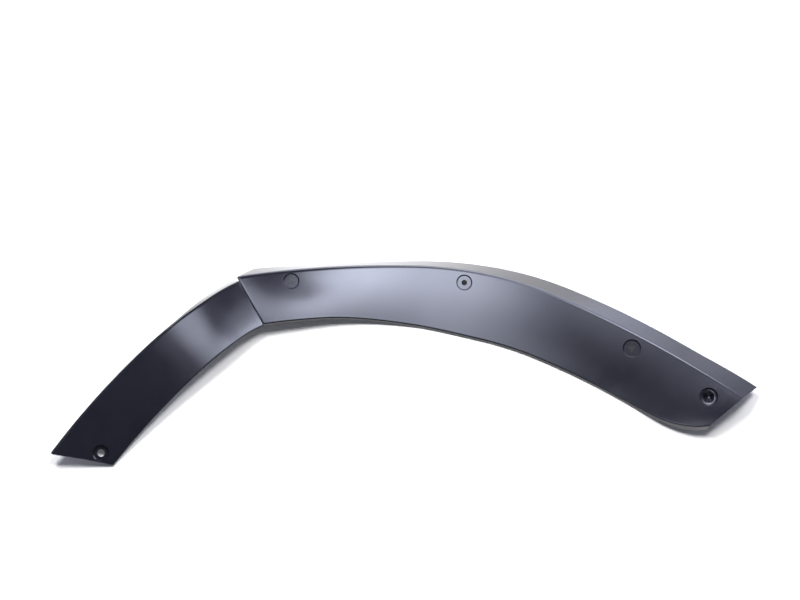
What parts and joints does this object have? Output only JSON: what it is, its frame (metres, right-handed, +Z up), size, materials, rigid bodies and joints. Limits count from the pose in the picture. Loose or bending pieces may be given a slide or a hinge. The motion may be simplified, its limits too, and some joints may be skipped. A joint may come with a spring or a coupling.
{
  "type": "rear mudguard",
  "caption": "One-piece moulded rear mudguard: a curved face with a splayed flange behind, a rolled rim, a folded front panel and recessed fixing holes.",
  "frame": {"origin": "middle of the bounding box in X and Y, on the surface the part rests on", "axes": "+X along the length towards the tail, +Y away from the wheel opening, +Z up out of the face"},
  "size_m": [0.889, 0.2714, 0.0351],
  "materials": {
    "guard_plastic": "satin black moulding"
  },
  "bodies": {
    "root": {"mudguard": "guard_plastic"}
  },
  "joints": []
}
